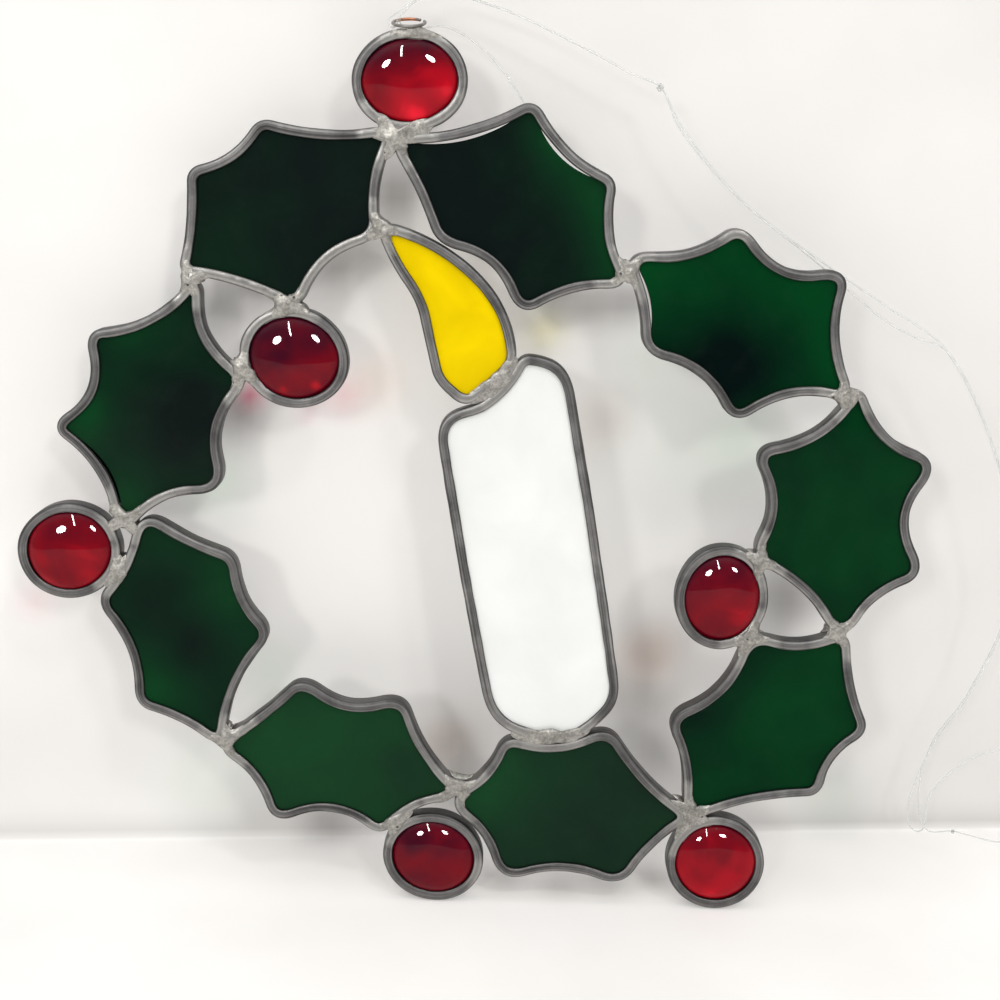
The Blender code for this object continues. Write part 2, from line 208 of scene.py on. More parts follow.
camera = {
    "position": (16.13, -391.26, -34.54),
    "looks": (-0.0329, 0.9781, -0.2053),
    "up": (0.1547, 0.2079, 0.9658),
    "lens": 57.6,
    "sensor": 36,
}


def addCamera():
    data = bpy.data.cameras.new("camera")
    data.lens, data.sensor_width = camera["lens"], camera["sensor"]
    data.clip_start, data.clip_end = 0.01, 20
    forward, up = Vector(camera["looks"]).normalized(), Vector(camera["up"]).normalized()
    right = forward.cross(up).normalized()
    turn = Matrix((right, right.cross(forward), -forward)).transposed().to_4x4()
    eye = inScene("camera", data)
    eye.matrix_world = Matrix.Translation(Vector(camera["position"]) * mm) @ turn
    bpy.context.scene.camera = eye


addCamera()


def shaderOf(name, **values):
    # A new material, with the plain values of its shader set by socket name.
    material = bpy.data.materials.new(name)
    material.use_nodes = True
    shader = material.node_tree.nodes["Principled BSDF"]
    for socket, value in values.items():
        shader.inputs[socket.replace("_", " ")].default_value = value
    return material, material.node_tree, shader


def feed(tree, shader, **patterns):
    # Joins each pattern to the shader's socket of that name.
    for socket, pattern in patterns.items():
        tree.links.new(pattern, shader.inputs[socket.replace("_", " ")])


def put(tree, kind, inputs=None, **settings):
    # A new node. Each input takes another node's output or a plain value.
    node = tree.nodes.new(kind)
    for key, value in settings.items():
        setattr(node, key, value)
    for key, value in (inputs or {}).items():
        if isinstance(value, bpy.types.NodeSocket):
            tree.links.new(value, node.inputs[key])
        else:
            node.inputs[key].default_value = value
    return node


def objectSpot(tree):
    return put(tree, "ShaderNodeTexCoord").outputs["Object"]


def laySpot(tree, scale):
    where = put(tree, "ShaderNodeUVMap", uv_map="lay").outputs["UV"]
    return put(tree, "ShaderNodeMapping", {"Vector": where, "Scale": scale}).outputs["Vector"]


def mark(tree, name, kind="Fac"):
    return put(tree, "ShaderNodeAttribute", attribute_name=name).outputs[kind]


def noise(tree, spot, scale, detail=3.0, roughness=0.5, distortion=0.0):
    return put(tree, "ShaderNodeTexNoise", {
        "Vector": spot, "Scale": scale, "Detail": detail, "Roughness": roughness,
        "Distortion": distortion}).outputs["Fac"]


def ramp(tree, value, stops):
    node = put(tree, "ShaderNodeValToRGB", {"Fac": value})
    elements = node.color_ramp.elements
    while len(elements) < len(stops):
        elements.new(0.5)
    for element, (place, colour) in zip(elements, stops):
        element.position = place
        element.color = (*colour, 1) if np.ndim(colour) else (colour, colour, colour, 1)
    return node.outputs["Color"]


def blended(tree, share, one, other, kind="MIX"):
    one, other = ((*colour, 1) if isinstance(colour, tuple) else colour for colour in (one, other))
    return put(tree, "ShaderNodeMix", {0: share, 6: one, 7: other},
               data_type="RGBA", blend_type=kind).outputs[2]


def plus(tree, one, other, clamp=False):
    return put(tree, "ShaderNodeMath", {0: one, 1: other}, operation="ADD", use_clamp=clamp).outputs[0]


def times(tree, one, other):
    return put(tree, "ShaderNodeMath", {0: one, 1: other}, operation="MULTIPLY").outputs[0]


def relief(tree, height, depth, strength, under=None):
    inputs = {"Height": height, "Distance": depth, "Strength": strength}
    if under is not None:
        inputs["Normal"] = under
    return put(tree, "ShaderNodeBump", inputs).outputs["Normal"]


def specks(tree, spot, scale, size, share):
    # Small round specks: the middles of random cells, kept only where the cell's own random
    # number is below the share.
    cells = put(tree, "ShaderNodeTexVoronoi", {"Vector": spot, "Scale": scale})
    near = ramp(tree, cells.outputs["Distance"], [(0, 1.0), (size, 0.7), (size * 1.6, 0.0)])
    pick = ramp(tree, cells.outputs["Color"], [(share, 1.0), (share + 0.02, 0.0)])
    return times(tree, near, pick)


leadLook = {
    "dark": (0.086, 0.085, 0.085),
    "middle": (0.140, 0.137, 0.136),
    "light": (0.205, 0.201, 0.197),
    "tinned": (0.275, 0.270, 0.260),
}
solderLook = {"dull": (0.22, 0.212, 0.195), "bright": (0.37, 0.36, 0.335), "pit": (0.03, 0.028, 0.026)}
wireLook = {"tin": (0.25, 0.24, 0.225), "copper": (0.55, 0.24, 0.14)}
lineLook = {"scuffed": (0.86, 0.88, 0.87), "clear": (0.96, 0.97, 0.96)}
dustLook = {"onGlass": (0.42, 0.45, 0.42), "onOpal": (0.35, 0.34, 0.30)}
# Stops from the densest glass to the clearest, or from the thinnest milk to the thickest. On the
# green and red glass they also turn painted shade and painted light into colour.
greenLook = [(0.0, (0.0008, 0.0045, 0.0040)), (0.45, (0.0007, 0.021, 0.0068)),
             (1.0, (0.0008, 0.056, 0.0115))]
redLook = [(0.0, (0.045, 0.002, 0.010)), (0.4, (0.17, 0.002, 0.008)),
           (0.75, (0.42, 0.003, 0.012)), (1.0, (0.85, 0.010, 0.030))]
whiteLook = [(0.35, (0.70, 0.715, 0.705)), (0.65, (0.745, 0.76, 0.75))]
yellowLook = [(0.35, (0.66, 0.47, 0.0)), (0.65, (0.76, 0.55, 0.0))]


def leadMaterial(look):
    # Dull lead strip: lines drawn along it, cloudy tarnish, and bright tin near the joints.
    # Its colour is multiplied by painted shade on the walls, inner edges and channel, and by a painted
    # highlight on the bevels.
    material, tree, shader = shaderOf("leadCame", Metallic=0.9)
    spot = objectSpot(tree)
    lines = noise(tree, laySpot(tree, (22, 1700, 1)), 1.0, 4, 0.6)
    cloud = noise(tree, spot, 120, 4, 0.62, 0.3)
    base = ramp(tree, cloud, [(0.3, look["dark"]), (0.5, look["middle"]), (0.72, look["light"])])
    drawn = blended(tree, 0.8, base, ramp(tree, lines, [(0.35, 0.15), (0.65, 0.85)]), "OVERLAY")
    grit = noise(tree, spot, 900, 3, 0.7)
    stray = plus(tree, plus(tree, grit, lines), -1.0)
    patchy = ramp(tree, plus(tree, mark(tree, "tin"), stray), [(0.1, 0.0), (1.0, 1.0)])
    colour = blended(tree, patchy, drawn, look["tinned"])
    rough = ramp(tree, patchy, [(0, 0.44), (1, 0.38)])
    under = relief(tree, lines, 0.00005, 0.6)
    # the base colour times the painted shade and highlight carried across the strip's section
    feed(tree, shader, Base_Color=blended(tree, 1.0, colour, mark(tree, "paintedShading"), "MULTIPLY"),
         Roughness=plus(tree, rough, times(tree, plus(tree, grit, -0.5), 0.25)),
         Normal=relief(tree, grit, 0.00004, 0.4, under))
    return material


def solderMaterial(look):
    # Bright, lumpy solder with dull grey patches and small dark flux pits.
    material, tree, shader = shaderOf("brightSolder", Metallic=0.95)
    spot = objectSpot(tree)
    patch = noise(tree, spot, 330, 4, 0.6, 0.4)
    base = ramp(tree, patch, [(0.34, look["dull"]), (0.6, look["bright"])])
    pits = specks(tree, spot, 650, 0.16, 0.14)
    grit = ramp(tree, noise(tree, spot, 1500, 3, 0.7), [(0.35, 0.25), (0.65, 0.75)])
    gritty = blended(tree, 0.55, base, grit, "OVERLAY")
    under = relief(tree, noise(tree, spot, 480, 3, 0.5), 0.00012, 0.4)
    feed(tree, shader, Base_Color=blended(tree, pits, gritty, look["pit"]),
         Roughness=ramp(tree, patch, [(0.3, 0.52), (0.65, 0.38)]),
         Normal=relief(tree, pits, -0.0002, 0.7, under))
    return material


def glassMaterial(name, stops, clear, dust, specular, polish=0.05, swirl=(45, 0.22)):
    # Coloured glass: its "depth" mark, with faint swirls, picks the colour; besides the glass's own tone
    # that mark carries painted shade and painted light. Specks of dust and the grey of its "film" mark lie
    # on it.
    material, tree, shader = shaderOf(name, Transmission_Weight=clear, IOR=1.5,
                                      Specular_IOR_Level=specular)
    spot = objectSpot(tree)
    scale, strength = swirl
    streak = times(tree, plus(tree, noise(tree, spot, scale, 2, 0.5, 0.8), -0.5), strength)
    colour = ramp(tree, plus(tree, mark(tree, "depth"), streak), stops)
    dots = specks(tree, spot, 380, 0.075, 0.12)
    haze = ramp(tree, noise(tree, spot, 260, 4, 0.7), [(0.5, 0.0), (0.85, 0.006)])
    haze = plus(tree, haze, mark(tree, "film"))
    dusty = plus(tree, times(tree, dots, dust), haze, clamp=True)
    feed(tree, shader, Base_Color=blended(tree, dusty, colour, dustLook["onGlass"]),
         Roughness=ramp(tree, dusty, [(0, polish), (0.5, 0.5)]))
    return material


def opalMaterial(name, stops, cloud, specular):
    # Opal glass: milky, cloudy colour under a clear fired surface, with specks of dust.
    material, tree, shader = shaderOf(name, Roughness=0.22, Coat_Weight=specular, Coat_Roughness=0.05,
                                      Specular_IOR_Level=specular)
    spot = objectSpot(tree)
    milky = ramp(tree, noise(tree, spot, cloud, 3, 0.5, 0.4), stops)
    dots = times(tree, specks(tree, spot, 430, 0.07, 0.10), 0.4)
    feed(tree, shader, Base_Color=blended(tree, dots, milky, dustLook["onOpal"]))
    return material


def wireMaterial(look):
    # Tinned copper: silver where the "bare" mark is low, copper where it is high.
    material, tree, shader = shaderOf("tinnedCopper", Metallic=1.0)
    patch = noise(tree, objectSpot(tree), 900, 3, 0.6)
    bare = plus(tree, mark(tree, "bare"), plus(tree, patch, -0.5))
    share = ramp(tree, bare, [(0.3, 0.0), (0.7, 1.0)])
    feed(tree, shader, Base_Color=blended(tree, share, look["tin"], look["copper"]),
         Roughness=ramp(tree, patch, [(0.3, 0.25), (0.7, 0.45)]),
         Normal=relief(tree, patch, 0.00008, 0.6))
    return material


def nylonMaterial(look):
    # Clear fishing line, a little scuffed.
    material, tree, shader = shaderOf("clearNylon", Transmission_Weight=0.75, IOR=1.53)
    scuff = noise(tree, objectSpot(tree), 800, 2, 0.6)
    feed(tree, shader, Base_Color=ramp(tree, scuff, [(0.3, look["scuffed"]), (0.7, look["clear"])]),
         Roughness=ramp(tree, scuff, [(0.3, 0.08), (0.7, 0.22)]))
    return material


lead = leadMaterial(leadLook)
solder = solderMaterial(solderLook)
green = glassMaterial("darkGreenGlass", greenLook, clear=0.05, dust=0.7, specular=0.006)
red = glassMaterial("redGlass", redLook, clear=0.1, dust=0.25, specular=0.08, polish=0.02,
                    swirl=(110, 0.45))
white = opalMaterial("opalWhiteGlass", whiteLook, cloud=60, specular=0.15)
yellow = opalMaterial("yellowGlass", yellowLook, cloud=70, specular=0.04)
copper = wireMaterial(wireLook)
nylon = nylonMaterial(lineLook)
print("materials ready")


def settle(thing, material, slot, *nodes):
    # The last steps of every piece: its finish, its body and the solids it stands for.
    thing.data.materials.append(material)
    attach(thing, "root")
    if nodes:
        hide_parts(*nodes)
    return thing


line = {
    "diameter": 0.4,
    "strandGap": 1.2,  # the second strand lies this far in front
    "start": [(-2.6, -0.5, 1.1), (-2.7, -0.5, 0.3), (-3.2, -0.45, -0.3), (-3.9, -0.3, -0.5),
              (-4.6, -0.1, -0.1), (-4.8, 0.2, 0.8), (-4.3, 1, 1.8), (-3, 2, 2.6), (2, 3.8, 5.2),
              (7, 4.2, 6.8)],
    # x, y, z, and how far down and left the second strand lies
    "pair": [(21.5, 5, 0.5, 0.2), (40, 5.5, -11.8, 0), (50, 5.8, -19.2, 0.1),
             (56.9, 6, -23.8, 0), (60.5, 6.2, -33, 0.6), (72, 6.2, -52.5, 0.1),
             (89, 5.6, -70, 0.6), (106, 7.5, -85.5, 2.2), (113, 8.4, -91.5, 1.9),
             (119, 9, -98, 0.2), (130, 12.5, -129, 0), (132.5, 18.5, -166, 0),
             (118.5, 22.8, -195.5, 0), (109, 26.5, -208.5, 0)],
    "turn": [(104, 29.2, -226), (105.3, 28.5, -234.9), (111.4, 24, -234.4), (124, 14, -235),
             (138, 13.5, -229), (137, 16.5, -213), (121, 21.5, -212), (107, 26, -223),
             (104.8, 26.8, -231), (103.9, 27.8, -234.3), (102.4, 28.9, -235.1),
             (101, 29.7, -233.6), (101, 29, -227)],
    "end": [(7.5, 3, 5.6), (0.5, 2.5, 3.9), (-2.1, 1.6, 1.2), (-1, 3.3, -1.2),
            (8, 3.5, -1.9), (16.7, 4.5, -9), (23, 4.5, -20), (26, 4.5, -29)],
    # middle, direction, size and half thickness
    "knots": {"line_knot_1": ((56.9, 5.4, -23.8), (1, 0, -1.1), 1.0, 0.2),
              "line_knot_2": ((111.4, 24, -234.4), (1, -0.8, 0), 0.45, 0.18)},
}


def lineRoute():
    # The pair is laid out once. The second strand follows it back, a little off the first.
    pair = np.array(line["pair"])
    back = pair[::-1]
    second = np.stack([back[:, 0] - back[:, 3], back[:, 1] - line["strandGap"],
                       back[:, 2] - back[:, 3]], 1)
    return smoothRoute(np.vstack([line["start"], pair[:, :3], line["turn"], second, line["end"]]), 14)


def knotPath(centre, way, size):
    # A trefoil knot, (2 + cos 3t) round 2t and sin 3t along, with its axis along the line.
    t = np.linspace(0, 2 * np.pi, 90, endpoint=False)
    out = 2 + np.cos(3 * t)
    local = np.stack([out * np.cos(2 * t), out * np.sin(2 * t), 1.5 * np.sin(3 * t)], 1) / 3 * size
    turn = np.array(Vector(way).to_track_quat("Z", "Y").to_matrix())
    return np.array(centre) + local @ turn.T


def addLine():
    route = lineRoute()
    curve = bpy.data.curves.new("fishingLine", "CURVE")
    curve.dimensions = "3D"
    spline = curve.splines.new("POLY")
    spline.points.add(len(route) - 1)
    spline.points.foreach_set("co", np.hstack([route * mm, np.ones((len(route), 1))]).ravel())
    curve.bevel_depth = line["diameter"] / 2 * mm
    curve.bevel_resolution = 3
    curve.use_fill_caps = True
    strand = settle(inScene("fishingLine", curve), nylon, "clear_line", "fishing_line")
    for number, (node, (centre, way, size, thickness)) in enumerate(line["knots"].items(), 1):
        path = knotPath(centre, way, size)
        loop = np.vstack([path[-1:], path, path[:1]])
        rings = tubeRings(loop, thickness, loop - centre, 8)[1:-1]
        settle(skin("lineKnot" + str(number), rings), nylon, "clear_line", node)


addLine()
print("fishing line laid")


leaves = {  # corners clockwise: x, z, rounding, bow of the side that follows
    1: [(-16, -47.5, 4, 4), (-38, -61, 3.5, 1.5), (-63.5, -48, 2, 1),
        (-57, -25.5, 2.5, 2.5), (-38.5, -17, 2.5, 2), (-7.5, -23.5, 5, 2.5)],
    2: [(-8.5, -25.5, 5, 2.5), (26, -23, 3, 2.5), (42, -44, 2.5, 3),
        (42.5, -69, 5.5, 3), (15, -71.5, 5, 5), (-1, -51.5, 4, 1)],
    3: [(42, -60.5, 7, 4), (71, -59, 4, 6.5), (95.5, -73, 6, 4),
        (92.5, -105, 5, 4.5), (63, -106, 4.5, 4.5), (44, -85.5, 4.5, 2)],
    4: [(94.5, -102.5, 3, 5), (113, -124, 6.5, 7.5), (105.5, -152, 5, 4.5),
        (82.5, -168, 8.5, 4), (63, -140.5, 5, 5), (67, -114, 5, 4.5)],
    5: [(60, -160, 6, 3.5), (84, -164, 4, 1.5), (86, -191, 3.5, 3),
        (72, -205.5, 3, 2), (36.5, -207.5, 7, 3), (36.5, -179.5, 5, 5)],
    6: [(-5.5, -178.5, 3.5, 3.5), (21, -180, 5, 2), (38, -207, 4, 2),
        (18, -223, 5.5, 4.5), (-13, -217, 6.5, 4), (-24.5, -192, 7.5, 3.5)],
    7: [(-79, -168.5, 5, 1), (-54, -154.5, 4.5, 5), (-30, -163, 5, 2.5),
        (-19, -192, 5.5, 3), (-41.5, -198.5, 3, 5.5), (-68.5, -191.5, 5, 3.5)],
    8: [(-86, -105, 6.5, 1), (-65.5, -120.5, 3, 2.5), (-60, -141, 4, 3),
        (-78, -168, 4.5, 1.5), (-96.5, -154, 3.5, 3.5), (-101, -126, 4, 2.5)],
    9: [(-60, -50, 4.5, 5), (-53.5, -76.5, 4, 6), (-62.5, -104.5, 8, 6),
        (-92.5, -111, 6, 4.5), (-102.5, -80.5, 3.5, 5.5), (-89.5, -59.5, 3.5, 4)],
}
flameCorners = [(-14.5, -45.5, 3.5, -2), (6.5, -62, 2.5, -2), (11.5, -82.5, 2.5, -0.5),
                (-2, -91, 3.5, 0.5), (-7, -85, 3.5, 0), (-8, -63.5, 5, -1)]
candleCorners = [(-8.5, -95, 5.5, -0.5), (1, -93, 2, 1.5), (14, -82.5, 2, -1), (24, -88, 5, -0.5),
                 (24, -172, 4.5, -1), (11, -180.5, 3, -2), (-8, -171.5, 6.5, -0.5)]
berries = {  # x, z, half width, half height, turn in degrees
    1: (-2, -13, 12.5, 10.75, -5), 2: (54.25, -150, 10.5, 12.25, -15),
    3: (43.25, -220.75, 11.5, 11.75, 30), 4: (-29.25, -207.5, 12, 10.75, -30),
    5: (-105.5, -112, 11.75, 11, 5), 6: (-41, -73.25, 12.25, 11, -30),
}
joints = {  # middle, web, blob, arm ends from the middle, lumps as x, z, radius, height
    1: ((-7.5, -25.5), 2.7, 2.6, [(-3.4, 6.2), (9.6, 2.0), (-6.2, 2.4), (-3.6, -4.6), (2.3, -5.2),
                                  (8, -0.6)],
        [(2.5, 2.4, 1.8, 0.35), (6.5, 1.8, 1.2, 0.3), (-3.2, 4.6, 1.0, 0.3), (1.9, -3.6, 0.8, 0.25)]),
    2: ((-14.5, -46), 2.2, 2.0, [(-2, 5), (-5.5, -2.2), (4.5, -1.6), (2, -4)],
        [(-1.6, 2.6, 1.1, 0.45), (1.6, -0.6, 1.0, 0.3), (-0.6, -0.4, 0.5, -0.4)]),
    3: ((-39.5, -60.5), 2.2, 2.0, [(-6.4, 4.8), (4.6, 5.2), (-9.5, -4), (4.4, -2.6)],
        [(0, 0.6, 1.6, 0.25), (4.2, -2.7, 0.9, 0.7), (-4.4, -1.9, 0.6, 0.3)]),
    4: ((-62.5, -50.5), 2.1, 2.2, [(0.2, 5.6), (7, 0.4), (1.2, -5), (-3, -2.8)],
        [(0.2, 3.2, 0.9, 0.3), (0.5, 0.5, 1.5, 0.2), (0.0, 1.1, 0.28, -0.7)]),
    5: ((-54, -74), 2.4, 2.2, [(-2.2, 4.6), (-3.8, -6.2), (5, -5.6), (1.6, 5)],
        [(-0.4, 1.4, 1.6, 0.35), (-1.6, 3.0, 0.8, 0.4), (-3.2, -5.2, 0.5, 0.3)]),
    6: ((-90, -106), 2.4, 2.0, [(-4.2, 6), (-5.5, -2.2), (6.8, 3.2), (2.6, -5)],
        [(-3.2, 0.6, 1.3, 0.3), (1.6, 0.9, 1.0, 0.45), (2.9, 1.6, 0.6, 0.3), (-3.8, 4.4, 0.6, 0.3)]),
    7: ((-94.5, -119), 1.5, 1.4, [(-1, 4.5), (-4, -3.4), (2.6, 4.2), (1.6, -4.6)], [(0, 0, 1.2, 0.15)]),
    8: ((-76.5, -167.5), 2.1, 1.9, [(7, 3.2), (-5, 1.8), (1.8, -5.4), (1, 4.6)],
        [(0, 0.3, 1.4, 0.3), (1.2, -3, 0.8, 0.25)]),
    9: ((-19.5, -189.5), 2.4, 2.4, [(0.8, 5), (3, -7.5), (-7.5, -2.5), (5.5, 1.5), (-4, 4)],
        [(0, -1.2, 1.5, 0.6), (0.6, 2.2, 1.2, 0.3), (-2.2, 2.2, 0.8, 0.3)]),
    10: ((-37.5, -196.5), 1.9, 1.6, [(-5, 0), (-1.5, -3.6), (5.2, 3.2)], [(0, 0, 1.2, 0.2)]),
    11: ((6, -179.4), 2.6, 2.2, [(-10, 2.6), (10.6, 0.6), (-6, -0.5), (7, -1.5)],
         [(-6.6, 1.2, 1.4, 0.25), (0, 0, 3, 0.2), (7.2, 0.6, 1.7, 0.25)]),
    12: ((39, -206), 2.4, 2.3, [(0, 6.6), (-5.4, 4.2), (6, 0.6), (-4.8, -8), (4.5, -4.5)],
         [(0, 0.8, 1.8, 0.5), (-2.4, -3.2, 1.0, 0.3), (3.4, 0.4, 0.8, 0.3)]),
    13: ((82, -163.5), 2.1, 1.9, [(-1.5, 4.4), (5.2, 3.2), (-5, 0), (1.6, -5.4)],
         [(0, 0, 1.3, 0.3), (2, 1.4, 0.7, 0.25)]),
    14: ((65, -142), 2.2, 2.1, [(1.6, 5), (-3.6, 2.6), (4.4, -2.4), (-1.6, -5)],
         [(-0.6, 0, 1.3, 0.35), (2, -1, 0.8, 0.3)]),
    15: ((60, -161.5), 2.2, 2.1, [(2.6, 5), (5, -1), (-5.8, -0.5), (-3.4, -4.6)],
         [(0, 0, 1.5, 0.35), (-3, -0.2, 0.8, 0.3), (2, 1.5, 0.7, 0.25)]),
    16: ((90.5, -103.5), 2.1, 1.8, [(-5, -0.6), (0.4, 4), (5, -0.8), (0, -4.4), (3, -4)],
         [(0, 0, 1.3, 0.35), (3.6, -0.4, 0.9, 0.6), (-2.6, 0.2, 0.8, 0.35)]),
    17: ((42.5, -65.5), 2.1, 1.9, [(-6, -2.4), (4.4, 3.2), (1.6, -5.4), (-1.6, 4.4)],
         [(0, 0, 1.2, 0.3), (2.9, 2.2, 0.9, 0.5), (-1.6, -0.6, 0.7, 0.25)]),
    18: ((7.5, -86.5), 2.9, 2.6, [(5.2, 5), (-8.5, -4.2), (4, 0.5), (-4, -4.6)],
         [(1, 0.8, 1.8, 0.25), (-4.2, -2.4, 1.4, 0.2), (-7.6, -3.8, 0.55, -0.6), (3.6, 3.4, 0.9, 0.25)]),
}
ringMound = ((1.2, -2.5), 1.5, 1.6, [(-6.4, 0.4), (7.6, -1.6), (3.5, -0.6), (-3, 0)],
             [(-5.4, 0.3, 0.7, 0.35), (6.2, -1.5, 1.0, 0.35), (3.4, -0.4, 0.8, 0.25), (-2, 0.2, 0.9, 0.2)])
# Longer stretches of came with solder along them: both ends and how far the shine reaches.
tinnedRuns = [(-55, -51, -47, -55, 1.5), (-47, -55, -41, -61, 1.5), (-37, -59, -29, -50, 1.4),
              (-29, -50, -20, -47, 1.2), (-45, -62, -51, -68, 1.4), (-51, -68, -53, -72, 1.4),
              (66, -59, 77, -61, 1.6), (-20, -222, -18, -212, 1.0), (38, -209, 33, -215, 1.4),
              (-84, -103, -74, -104, 1.4), (-13.5, -18, -10, -22, 1.2), (4, -22.6, 8, -19, 1.2)]


came = {
    "halfFace": 1.2, "halfDepth": 2.5, "heart": 0.8, "lipFace": 1.46,
    "outerRound": 0.62, "innerRound": 0.42, "crown": 0.07, "spacing": 0.38,
    "wobble": 0.08, "faceWobble": 0.04, "widthWobble": 0.05,
    # tin: its thickness, how far it covers a joint's arms and spreads from them, and how far it fades
    "tinRise": 0.12, "tinArm": 0.9, "tinReach": 1.9, "tinFade": 2.2,
    # painted shade on the outer wall, a painted highlight on the bevel, and painted shade at the face's
    # inner edge and in the channel: how bright each is, the face being 1
    "wallPaintedShade": 0.55, "bevelPaintedHighlight": 1.3, "edgePaintedShade": 0.3, "channelPaintedShade": 0.1,
}


def cameSection():
    # The strip's section as offset towards the glass and height towards the front: an outer
    # wall, two crowned faces with rounded edges, two lips and the channel between them.
    face, depth, lip = came["halfFace"], came["halfDepth"], came["lipFace"]
    outer, inner = came["outerRound"], came["innerRound"]
    outerArc = np.radians(np.linspace(180, 90, 7))
    innerArc = np.radians(np.linspace(90, 0, 5))
    across = np.linspace(-face + outer, face - inner, 6)[1:-1]
    middle = (outer - inner) / 2
    crown = came["crown"] * (1 - ((across - middle) / (face - (outer + inner) / 2)) ** 2)
    half = np.vstack([
        np.stack([-face + outer + outer * np.cos(outerArc), depth - outer + outer * np.sin(outerArc)], 1),
        np.stack([across, depth + crown], 1),
        np.stack([face - inner + inner * np.cos(innerArc), depth - inner + inner * np.sin(innerArc)], 1),
        [(face, lip + 0.12), (face - 0.1, lip), (-face + came["heart"], lip)]])
    return np.vstack([half, half[::-1] * [1, -1]])


def rail(points, normals, offset):
    # The outline moved sideways. Where a tight bend would fold the moved line over itself, its
    # points lie too near the outline, and straight steps between the good ones replace them.
    moved = points + normals * offset
    if abs(offset) < 0.3:
        return moved
    gap = np.linalg.norm(moved[:, None] - points[None], axis=2).min(1)
    good = gap > abs(offset) - 0.04
    if good.all() or good.sum() < 20:
        return moved
    count = len(points)
    at = np.flatnonzero(good)
    at = np.concatenate([at - count, at, at + count])
    source = moved[at % count]
    return np.stack([np.interp(np.arange(count), at, source[:, k]) for k in range(2)], 1)


def tinAt(points):
    # How much tin a point carries: full on an arm of a joint or a tinned run, fading beyond.
    arm = came["tinArm"]
    arms = [(x, z, x + arm * dx, z + arm * dz, came["tinReach"])
            for (x, z), _, _, ends, _ in (*joints.values(), ringMound) for dx, dz in ends]
    runs = np.array(arms + tinnedRuns)
    start, way = runs[:, :2], runs[:, 2:4] - runs[:, :2]
    share = ((points[:, None] - start) * way).sum(2) / (way ** 2).sum(1)
    nearest = start + way * np.clip(share, 0, 1)[:, :, None]
    gap = np.linalg.norm(points[:, None] - nearest, axis=2) - runs[:, 4]
    return np.clip(1 - gap.min(1) / came["tinFade"], 0, 1)


cameLines = []  # every came's middle line, for the joints


def addCame(name, node, outline, seed):
    # The section is carried along the outline, with slow ripples in its course, width and face.
    length = np.linalg.norm(np.roll(outline, -1, 0) - outline, axis=1).sum()
    count = int(length / came["spacing"])
    path = evenly(outline, count)
    path = path + inwards(path) * (came["wobble"] * ripple(path, 16, seed))[:, None]
    normals = inwards(path)
    cameLines.append(path)
    tin = tinAt(path)
    section = cameSection()
    rings = np.empty((count, len(section), 3))
    width = 1 + came["widthWobble"] * ripple(path, 9, seed + 1)
    height = came["faceWobble"] * (ripple(path, 7, seed + 2) + 0.5 * ripple(path, 2.4, seed + 3))
    height = height + tin * came["tinRise"] * (1 + 0.5 * ripple(path, 4.2, seed + 4))
    for k, (offset, level) in enumerate(section):
        swell = height * (abs(level) > came["halfDepth"] - came["outerRound"])
        rings[:, k, ::2] = between(path, rail(path, normals, offset), width[:, None])
        rings[:, k, 1] = -(level + np.sign(level) * swell)
    tin = tin[:, None] * np.where(np.abs(section[:, 1]) > 1.4, 1, 0.6)
    # painted shading across the section: shade on the outer wall rising to a highlight on the bevel, then
    # shade towards the inner edge and in the channel
    bevel = between(came["wallPaintedShade"], came["bevelPaintedHighlight"], np.linspace(0, 1, 7) ** 2)
    half = np.concatenate([bevel, [1.05, 0.9, 0.85, 1.0], np.linspace(1.15, came["edgePaintedShade"], 5),
                           np.full(3, came["channelPaintedShade"])])
    paintedShading = np.repeat(np.concatenate([half, half[::-1]])[None], count, 0)
    settle(skin(name, rings, marks={"tin": tin, "paintedShading": paintedShading}), lead, "lead_came", node)


for number, corners in leaves.items():
    addCame("leafCame" + str(number), "holly_leaf_%d_came" % number, outlineOf(corners), 10 * number)
addCame("flameCame", "flame_came", outlineOf(flameCorners), 100)
addCame("candleCame", "candle_came", outlineOf(candleCorners), 110)
for number, berry in berries.items():
    addCame("berryCame" + str(number), "berry_%d_came" % number, ovalOf(berry), 120 + 10 * number)
print("cames bent")


pane = {"thickness": 3.0, "intoChannel": 0.25, "count": 260, "rings": 16, "waviness": 0.05,
        "shortSides": {2: (0, 1), 3: (5,), 9: (3,)},  # leaves whose glass was cut a little small
        "shortBy": 1.7}
films = {1: 0.009, 2: 0.007, 3: 0.001, 6: 0.014, 7: 0.014, 8: 0.005, 9: 0.007}  # thin grey film
